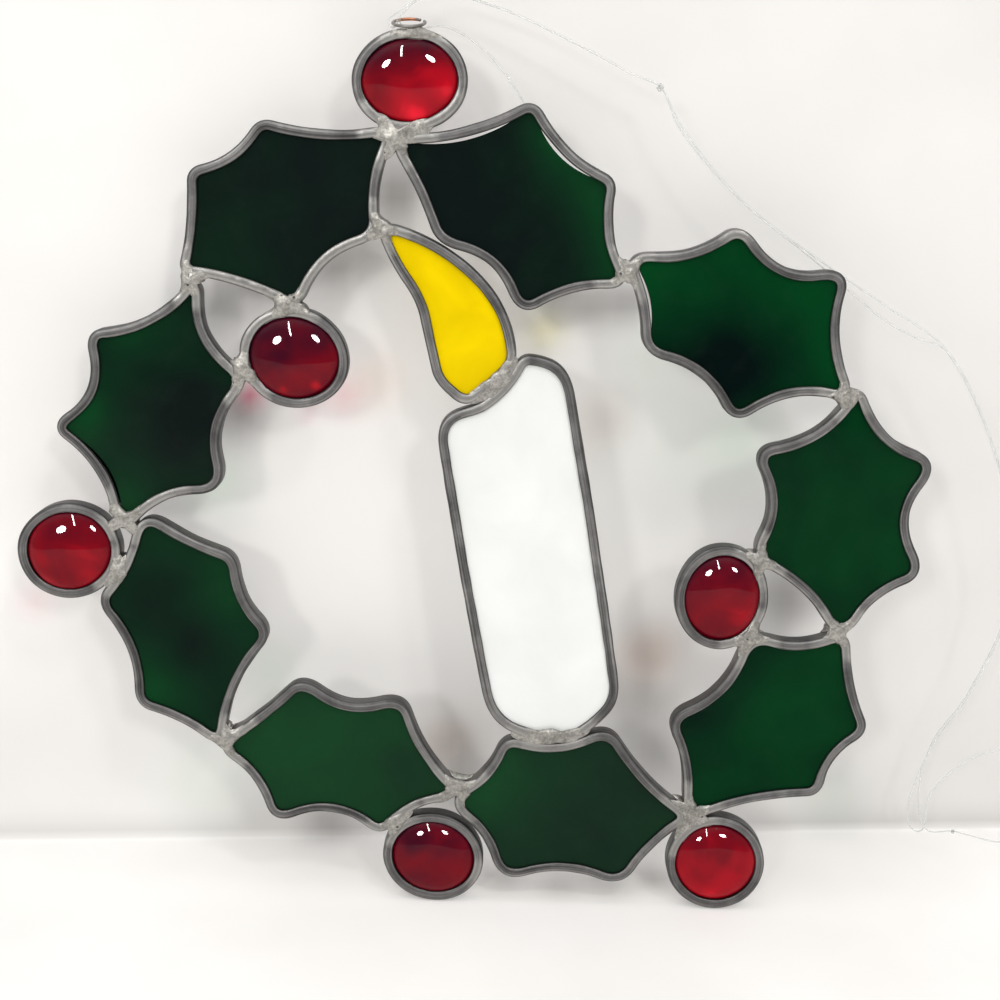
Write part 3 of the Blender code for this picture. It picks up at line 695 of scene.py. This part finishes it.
# Each leaf's glass tone with painted shade and light: darker where the backdrop seen through it lies in
# shadow, lighter where it is lit. Its level, then soft spots x, z, reach, change.
leafPaintedShading = {
    1: (0.06, [(-55, -50, 10, 0.20), (-60, -30, 9, 0.06)]),
    2: (0.12, [(29, -30, 6, 0.4), (32, -38, 7, 0.4), (38, -48, 7, 0.45), (41, -60, 8, 0.5),
               (37, -73, 7, 0.4), (0, -35, 14, -0.15), (12, -58, 14, -0.12)]),
    3: (0.66, [(55, -94, 15, -0.6), (70, -92, 13, -0.45), (48, -65, 9, 0.12), (88, -80, 16, 0.1)]),
    4: (0.52, [(70, -115, 12, -0.05), (92, -140, 14, 0.05)]),
    5: (0.52, [(44, -178, 9, -0.35), (60, -166, 9, -0.2), (66, -182, 13, 0.14), (84, -170, 8, 0.1)]),
    6: (0.45, [(-18, -185, 14, 0.35), (30, -195, 12, -0.2), (10, -215, 14, -0.18)]),
    7: (0.62, [(-60, -170, 14, 0.1), (-30, -185, 10, -0.15)]),
    8: (0.42, [(-94, -150, 10, 0.35), (-70, -128, 9, 0.2), (-87, -128, 12, -0.28), (-80, -144, 11, -0.28),
               (-73, -160, 9, -0.15)]),
    9: (0.22, [(-96, -78, 9, 0.55), (-78, -58, 9, 0.4), (-90, -102, 9, 0.4), (-70, -85, 13, -0.3)]),
}


def centreOf(outline):
    # The middle of an outline's area, from the areas of the triangles to its points.
    a, b = outline, np.roll(outline, -1, 0)
    area = a[:, 0] * b[:, 1] - a[:, 1] * b[:, 0]
    return ((a + b) * area[:, None]).sum(0) / (3 * area.sum())


def addPane(name, node, outline, material, slot, seed, paintedShading=(0.5, ()), film=0.0):
    # Rings grow from the middle to the rim on the front, and shrink again on the back.
    path = evenly(outline, pane["count"])
    rim = rail(path, inwards(path), pane["intoChannel"])
    middle = centreOf(rim)
    share = np.sin(np.linspace(0.06, np.pi / 2, pane["rings"]))
    flat = middle + (rim - middle)[None] * share[:, None, None]
    sway = pane["waviness"] * ripple(flat, 26, seed)
    front, rear = (np.stack([flat[..., 0], half + sway, flat[..., 1]], 2)
                   for half in (-pane["thickness"] / 2, pane["thickness"] / 2))
    rings = np.concatenate([front, rear[::-1]])
    # the depth mark: the leaf's level plus spots of painted shade and painted light
    level, spots = paintedShading
    depth = level + softSpots(rings[..., 0], rings[..., 2], spots)
    depth = depth + 0.05 * ripple(rings[..., ::2], 14, seed + 1)
    poles = [(middle[0], rings[k, :, 1].mean(), middle[1]) for k in (0, -1)]
    marks = {"depth": depth, "film": np.full_like(depth, film)}
    settle(skin(name, rings, poles, marks), material, slot, node)


for number, corners in leaves.items():
    short = pane["shortSides"].get(number, ())
    cut = [(x, z, rounding, bow + pane["shortBy"] * (side in short))
           for side, (x, z, rounding, bow) in enumerate(corners)]
    addPane("leafPane" + str(number), "holly_leaf_%d_glass" % number, outlineOf(cut), green,
            "green_glass", 300 + number, leafPaintedShading[number], films.get(number, 0.0))
addPane("flamePane", "flame_glass", outlineOf(flameCorners), yellow, "yellow_glass", 320)
addPane("candlePane", "candle_glass", outlineOf(candleCorners), white, "white_glass", 321)
print("panes cut")


nugget = {"rim": 1.4, "dome": 3.2, "edge": 0.9, "fullness": 2.4, "steepness": 0.6, "back": 1.5,
          "rings": 30, "around": 160, "unevenness": 0.012}
# How far each dome's top lies from its berry's middle, as x, z.
apexes = {1: (-1.3, 2.4), 2: (2.3, 0.5), 3: (0.4, 0.8), 4: (0.2, 0), 5: (-2.0, -0.7), 6: (-1.3, -0.3)}
# Painted light in each berry's glass: dark towards the top and bright towards the bottom, where light
# focused through the dome falls, with painted glints and shade as spots. Columns: level at the top, level
# at the bottom, where the change lies (-1 to 1), and bright or dark spots as x, z from its middle, reach,
# change.
berryPaintedLight = {
    1: (0.03, 0.64, 0.34, [(0, -8.5, 3.5, 0.4), (8, -4, 3, 0.25), (-1, 0, 3.5, -0.12), (-7, 0, 3, -0.2),
                           (4.5, 1.5, 2.5, 0.08), (4, -3, 3, -0.1)]),
    2: (0.11, 0.36, 0.35, [(4, -6, 4, 0.15), (-5, 3, 4, -0.1)]),
    3: (0.30, 0.56, 0.35, [(-3, -6, 4, 0.12), (3, 2, 4, -0.1)]),
    4: (0.04, 0.30, 0.30, [(4, -5, 4, 0.1)]),
    5: (0.28, 0.45, 0.35, [(3, -6, 4, 0.12)]),
    6: (0.05, 0.26, 0.0, [(4.2, -7.6, 1.4, 0.5), (-4, -7.2, 1.2, 0.3), (8, -3, 3.5, 0.15)]),
}


def addNugget(number, berry):
    # An oval dome: rim + dome (1 - (r / edge) ^ fullness) ^ steepness, over a flat back. Its top
    # is moved to the apex by 1 - (r / edge) squared.
    x, z, halfWidth, halfHeight, degrees = berry
    rim, edge, back = nugget["rim"], nugget["edge"], nugget["back"]
    domeShare = edge * np.sin(np.linspace(0.04, np.pi / 2, nugget["rings"]))
    inside = np.maximum(0, 1 - (domeShare / edge) ** nugget["fullness"])
    domeLift = nugget["dome"] * inside ** nugget["steepness"]
    share = np.concatenate([domeShare, [0.95, 0.99, 1, 1, 0.98, 0.9, 0.5, 0.1]])[:, None]
    lift = np.concatenate([rim + domeLift, [rim, rim, rim - 0.1],
                           [-back + 0.2, -back + 0.03, -back, -back, -back]])[:, None]
    angle = 2 * np.pi * np.arange(nugget["around"]) / nugget["around"]
    wave = 1 + nugget["unevenness"] * (np.sin(2 * angle + number) + np.sin(3 * angle - number) / 2)
    dx, dz = turned(share * halfWidth * np.cos(angle) * wave, share * halfHeight * np.sin(angle) * wave,
                    degrees)
    shift = np.where(lift > 0, np.clip(1 - (share / edge) ** 2, 0, 1), 0)
    apexX, apexZ = apexes[number]
    dx, dz = dx + apexX * shift, dz + apexZ * shift
    rings = np.stack([x + dx, -np.repeat(lift, nugget["around"], 1), z + dz], 2)
    top, bottom, change, spots = berryPaintedLight[number]
    # painted light: dark at the top, bright at the bottom, painted glint and shade spots, and darker
    # towards the rim
    depth = between(top, bottom, 1 / (1 + np.exp((dz / halfHeight - change) / 0.12)))
    depth += softSpots(dx, dz, spots) + 0.07 * ripple(np.stack([dx, dz], 2), 9, 400 + number)
    depth -= 0.25 * np.clip(share - 0.82, 0, 1) / 0.18
    poles = [(x + apexX, -rim - nugget["dome"], z + apexZ), (x, back, z)]
    settle(skin("berryNugget" + str(number), rings, poles, {"depth": depth}), red, "red_glass",
           "berry_%d_glass" % number)


for number, berry in berries.items():
    addNugget(number, berry)
print("berries set")


joint = {
    "cover": 1.15, "spread": 0.42, "least": 2.2, "near": 16,  # where its edge runs
    "rise": 0.62, "tip": 0.16, "swell": 3.8, "uneven": 0.1, "lumps": 0.6,  # how high it stands
    "face": 2.4, "under": 1.3, "rings": 20, "around": 144, "steps": 140,
}


def addJoint(name, place, side, seed, nodes, grow=1.0):
    # Solder lies where came middles are near: closeness is the sum over the cames of
    # exp(-(distance / web) squared), plus a round blob, and the edge is where it falls to that
    # of a point just inside a single came's face. Each direction has its own furthest reach.
    centre, web, blob, arms, lumps = place
    centre, ends = np.array(centre), np.array(arms) * grow
    angle = 2 * np.pi * np.arange(joint["around"]) / joint["around"]
    way = np.stack([np.cos(angle), np.sin(angle)], 1)
    armAngle, armLength = np.arctan2(ends[:, 1], ends[:, 0]), np.linalg.norm(ends, axis=1)
    turn = (angle[:, None] - armAngle + np.pi) % (2 * np.pi) - np.pi
    arm = (armLength - joint["least"]) * np.exp(-(turn / joint["spread"]) ** 2)
    reach = joint["least"] + arm.max(1)
    lines = [path[np.linalg.norm(path - centre, axis=1) < joint["near"]] - centre for path in cameLines]
    lines = [middle for middle in lines if len(middle) > 2]

    def closeness(points):
        gaps = [((points[..., None, :] - middle) ** 2).sum(-1).min(-1) for middle in lines]
        return sum(np.exp(-gap / web ** 2) for gap in gaps) + np.exp(-(points ** 2).sum(-1) / blob ** 2)

    least = np.exp(-(joint["cover"] / web) ** 2)
    out = np.linspace(0, 1, joint["steps"])
    field = closeness(way[:, None] * (reach[:, None] * out)[..., None])
    past = field < least
    past[:, -1] = True
    at = np.maximum(np.argmax(past, 1), 1)
    rows = np.arange(len(angle))
    before, after = field[rows, at - 1], np.minimum(field[rows, at], least)
    part = np.clip((before - least) / np.maximum(before - after, 1e-6), 0, 1)
    edge = reach * (out[at - 1] + out[1] * part)
    edge = (np.roll(edge, 1) + 2 * edge + np.roll(edge, -1)) / 4
    share = np.sin(np.linspace(0.06, np.pi / 2, joint["rings"]))[::-1]
    flat = way[None] * (edge[None] * share[:, None])[..., None]
    full = np.clip((closeness(flat) - least) / (1 - least), 0, 1) ** 0.5
    far = np.linalg.norm(flat, axis=2)
    height = between(joint["tip"], joint["rise"], np.exp(-(far / joint["swell"]) ** 2)) * full
    height += joint["lumps"] * softSpots(flat[..., 0], flat[..., 1], lumps)
    spot = flat + centre
    height *= 1 + joint["uneven"] * (ripple(spot, 2.8, seed) + 0.4 * ripple(spot, 1.2, seed + 1))
    height *= np.sqrt(np.clip(1 - share ** 9, 0, 1))[:, None]
    # underneath, the edge is drawn in and sunk between the cames
    under = np.array([0.94, 0.7, 0.35, 0.08])[:, None]
    below = way[None] * (edge[None] * under)[..., None] + centre
    sink = joint["under"] * np.array([0.3, 0.8, 1.0, 1.0])[:, None] + np.zeros(len(angle))
    plan = np.concatenate([spot[::-1], below])
    y = side * (joint["face"] + np.concatenate([height[::-1], -sink]))
    rings = np.stack([plan[..., 0], y, plan[..., 1]], 2)
    poles = [(centre[0], rings[0, :, 1].mean(), centre[1]),
             (centre[0], side * (joint["face"] - joint["under"]), centre[1])]
    settle(skin(name, rings, poles), solder, "solder", *nodes)


for number, place in joints.items():
    addJoint("solderJoint%02d" % number, place, -1, 500 + 3 * number, ["solder_%02d" % number])
    addJoint("backSolder%02d" % number, (*place[:4], place[4][:1]), 1, 600 + 3 * number, [], grow=0.85)
addJoint("ringMound", ringMound, -1, 700, ["solder_ring_mound"])
print("joints soldered")


ring = {"radius": 3.8, "wire": 0.75, "from": 45, "to": 385, "tipForward": 17, "lean": 9,
        "bareAt": 100, "bareReach": 42, "steps": 150, "sides": 16}


def addRing():
    # Wire along an open circle, tipped forward and leaned: slightly uneven, with rounded ends.
    # Bare copper shows round one place, exp(-((angle - bareAt) / bareReach) squared).
    share = np.linspace(0, 1, ring["steps"])
    degrees = between(ring["from"], ring["to"], share)
    across, back = turned(ring["radius"], 0, degrees)
    tip, lean = np.radians(ring["tipForward"]), np.radians(ring["lean"])
    side, rise = turned(across, back * np.sin(tip), -ring["lean"])
    path = np.stack([side, back * np.cos(tip), rise], 1)
    bare = np.exp(-((degrees - ring["bareAt"]) / ring["bareReach"]) ** 2)
    endRound = np.sqrt(np.clip(1 - (1 - np.minimum(share, 1 - share) * 55).clip(0) ** 2, 0.05, 1))
    thick = ring["wire"] / 2 * endRound * (1 + 0.03 * ripple(path, 2.5, 800))
    upright = (np.sin(lean) * np.cos(tip), -np.sin(tip), np.cos(tip) * np.cos(lean))
    rings = tubeRings(path, thick, upright, ring["sides"])
    marks = {"bare": np.repeat(bare[:, None], ring["sides"], 1)}
    settle(skin("hangingRing", rings, [path[0], path[-1]], marks), copper, "tinned_copper", "hanging_ring")


addRing()
print("ring hung")


stage = {  # a pale sheet: floor, tight cove and wall, tilted as the piece leans against it
    "foot": (0, 33.1, -221.6), "along": (0.9804, 0.0802, -0.18), "up": (0.1885, -0.1149, 0.9753),
    "lean": 0.056, "cove": 0.8, "front": 3000, "height": 700, "halfWidth": 1500, "pitch": 3,
    # painted shade: how much darker the wall is, on the left, on the right, low down and at its foot
    "leftPaintedShade": 0.03, "rightPaintedShade": 0.12, "lowPaintedShade": 0.06, "footPaintedShade": 0.2,
    # the board's two tones, and how much it glows by itself as painted fill light that keeps its shadows
    # pale
    "dull": (0.55, 0.538, 0.524), "pale": (0.60, 0.588, 0.574), "paintedFillGlow": 0.54,
}
# Painted light, as if come through coloured glass, and painted shadow close behind the piece: by tint,
# along the wall, height (below 0 is out on the floor), reach and strength.
tints = {"red": (1, 0.25, 0.38), "pink": (1, 0.72, 0.76), "peach": (1, 0.88, 0.82),
         "green": (0.90, 1, 0.92), "yellow": (0.95, 0.92, 0.62), "paintedShading": (0.3, 0.29, 0.285)}
paintedLightAndShade = {
    "red": [(-82, 126, 3.5, 0.8)],
    "pink": [(-58, 126, 5, 0.7), (-67, 122, 3, 0.5), (-139, 70, 5, 0.4)],
    "peach": [(-50, 130, 8, 0.6), (26, 54, 9, 1.0), (-29, 29, 8, 0.7), (9, 120, 8, 0.4)],
    "green": [(-91, 103, 8, 0.9), (-78, 50, 8, 0.6), (-96, 18, 12, 0.5), (47, 115, 11, 0.7),
              (22, 137, 9, 0.5), (30, 112, 20, 0.3), (81, 10, 9, 0.5)],
    "yellow": [(-6, 144, 5, 0.8)],
    "paintedShading": [(-86, 121, 8, 0.75), (-91, 149, 8, 0.6), (-79, 156, 7, 0.7), (-60, 159, 7, 0.6),
              (-51, 164, 7, 0.5), (-45, 178, 6, 0.6), (-4, 154, 7, 0.6), (6, 150, 7, 0.5),
              (16, 151, 6, 0.5), (12, 121, 7, 0.25), (64, 71, 10, 0.65), (27, 58, 9, 0.35),
              (25, 42, 9, 0.45), (29, 25, 9, 0.45), (-28, 28, 8, 0.5), (-25, 16, 8, 0.45),
              (-62, 5, 9, 0.6), (-82, 8, 12, 0.2), (84, 8, 12, 0.2), (-15, -23, 7, 0.45),
              (0, -26, 7, 0.45), (13, -26, 7, 0.4), (26, -23, 6, 0.5)],
}


def stageMaterial():
    # Plain pale board, see-through from behind so that it never hides the piece. Its colour carries painted
    # light and shadow, and it glows by itself as painted fill light.
    material, tree, shader = shaderOf("paleBoard", Roughness=0.8, Specular_IOR_Level=0.2,
                                      Emission_Strength=stage["paintedFillGlow"])
    cloud = noise(tree, objectSpot(tree), 14, 3, 0.5)
    pale = ramp(tree, cloud, [(0.3, stage["dull"]), (0.7, stage["pale"])])
    colour = blended(tree, 1.0, pale, mark(tree, "paintedTint", "Color"), "MULTIPLY")
    feed(tree, shader, Base_Color=colour, Emission_Color=colour)
    back = put(tree, "ShaderNodeNewGeometry").outputs["Backfacing"]
    clear = put(tree, "ShaderNodeBsdfTransparent").outputs[0]
    choice = put(tree, "ShaderNodeMixShader", {0: back, 1: shader.outputs[0], 2: clear})
    tree.links.new(choice.outputs[0], tree.nodes["Material Output"].inputs["Surface"])
    return material


def addSheet(name, points, faces, paintedTint, board):
    mesh = bpy.data.meshes.new(name)
    mesh.from_pydata((points * mm).tolist(), [], faces)
    mesh.shade_smooth()
    mesh.attributes.new("paintedTint", "FLOAT_COLOR", "POINT").data.foreach_set("color", paintedTint.ravel())
    mesh.materials.append(board)
    inScene(name, mesh)


def addStage():
    # One sheet, its section laid out as depth behind the wall's foot and height above the floor,
    # then carried along the foot. Steps are fine where the painted coloured light and shadow fall.
    up = unit(np.array(stage["up"]))
    along = np.array(stage["along"])
    along = unit(along - up * (along @ up))
    back = np.cross(up, along)
    foot, pitch, halfWidth = np.array(stage["foot"]), stage["pitch"], stage["halfWidth"]
    angle = np.linspace(-np.pi / 2, 0, 6)
    cove = stage["cove"] * np.stack([np.cos(angle) - 1, 1 + np.sin(angle)], 1)
    rises = np.append(np.arange(3, 300, pitch), stage["height"])
    outs = np.concatenate([[stage["front"], 900, 250, 120], np.arange(72, 2, -pitch)])
    profile = np.vstack([np.stack([-outs, 0 * outs], 1), cove, np.stack([stage["lean"] * rises, rises], 1)])
    xs = np.concatenate([[-halfWidth, -400], np.arange(-190, 190, pitch), [400, halfWidth]])[:, None]
    grid = foot + xs[..., None] * along + profile[:, :1] * back + profile[:, 1:] * up
    n, m = grid.shape[:2]
    i, j = np.meshgrid(np.arange(n - 1), np.arange(m - 1), indexing="ij")
    a = (i * m + j).ravel()
    height = profile[:, 1]
    # painted shade: the wall is darker to one side, in a band low down, and right at its foot
    paintedShade = between(stage["leftPaintedShade"], stage["rightPaintedShade"], 1 / (1 + np.exp(-(xs - 10) / 45)))
    paintedShade = paintedShade + stage["lowPaintedShade"] * np.exp(-((height - 25) / 35) ** 2)
    paintedShade = paintedShade + stage["footPaintedShade"] * np.exp(-(height / 6) ** 2)
    paintedTint = np.ones((n, m, 4))
    paintedTint[..., :3] -= (paintedShade * np.clip(height / 2, 0, 1))[..., None]
    level = height + np.minimum(profile[:, 0], 0)
    # spots of painted light and painted shadow multiply the board's colour
    for name, spots in paintedLightAndShade.items():
        for spot in spots:
            paintedTint[..., :3] *= 1 - softSpots(xs, level, [spot])[..., None] * (1 - np.array(tints[name]))
    board = stageMaterial()
    addSheet("board", grid.reshape(-1, 3), np.stack([a, a + m, a + m + 1, a + 1], 1).tolist(), paintedTint, board)
    # the floor goes on behind the wall, for views from the back
    side, far = halfWidth * along, stage["front"] * back
    corners = foot - 0.5 * up + np.array([-side, far - side, far + side, side])
    addSheet("rearFloor", corners, [(3, 2, 1, 0)], np.ones(16), board)


lights = {  # azimuth, elevation, distance, width, height, watts
    "lampLeft": (-17, 19, 2500, 336, 336, 14),
    "lampRight": (25, 20, 2500, 336, 336, 12),
    "strip": (-2, 43, 2500, 55, 1500, 5),
    "ceiling": (36, 41, 2500, 300, 300, 9),  # gives light but no highlight
}
glints = {  # window reflections seen only in the berries
    "glintLeft": (-17, 19, 2400, 400, 500, 120),
    "glintRight": (25, 20, 2400, 400, 500, 110),
    "glintStrip": (-2, 43, 2400, 75, 1800, 90),
}
lampColour = (1.0, 0.985, 0.96)


def addLights(table, onlyOn=None):
    # Lamps stand round the middle of the wreath and face it.
    middle = Vector((0, 0, -117))
    for name, (azimuth, elevation, distance, width, height, watts) in table.items():
        data = bpy.data.lights.new(name, "AREA")
        data.shape = "RECTANGLE" if name.lower().endswith("strip") else "ELLIPSE"
        data.size, data.size_y, data.energy = width * mm, height * mm, watts
        data.color = lampColour
        a, e = np.radians(azimuth), np.radians(elevation)
        away = Vector((np.sin(a) * np.cos(e), -np.cos(a) * np.cos(e), np.sin(e)))
        lamp = inScene(name, data)
        lamp.location = (middle + away * distance) * mm
        lamp.rotation_euler = (-away).to_track_quat("-Z", "Y").to_euler()
        lamp.visible_glossy = name != "ceiling"
        if onlyOn:
            lamp.visible_diffuse = False
            lamp.light_linking.receiver_collection = onlyOn


sky = {"over": 2.0, "high": 0.66, "level": 0.56, "under": 0.45, "front": 0.5}


def addWorld():
    # Bright overhead, paler at the horizon, dimmer in front and below.
    world = bpy.data.worlds.new("softRoom")
    world.use_nodes = True
    tree = world.node_tree
    way = put(tree, "ShaderNodeSeparateXYZ",
              {"Vector": put(tree, "ShaderNodeTexCoord").outputs["Generated"]}).outputs
    rise, depth = (plus(tree, times(tree, way[axis], 0.5), 0.5) for axis in "ZY")
    light = ramp(tree, rise, [(0.3, sky["under"]), (0.5, sky["level"]), (0.78, sky["high"]),
                              (0.94, sky["over"])])
    behind = ramp(tree, depth, [(0.0, sky["front"]), (0.5, 1.0)])
    tree.links.new(blended(tree, 1.0, light, behind, "MULTIPLY"), tree.nodes["Background"].inputs["Color"])
    bpy.context.scene.world = world


addStage()
addLights(lights)
domes = bpy.data.collections.new("domes")
for number in berries:
    domes.objects.link(bpy.data.objects["berryNugget" + str(number)])
addLights(glints, domes)
addWorld()
bpy.context.scene.view_settings.view_transform = "Standard"
print("stage lit")
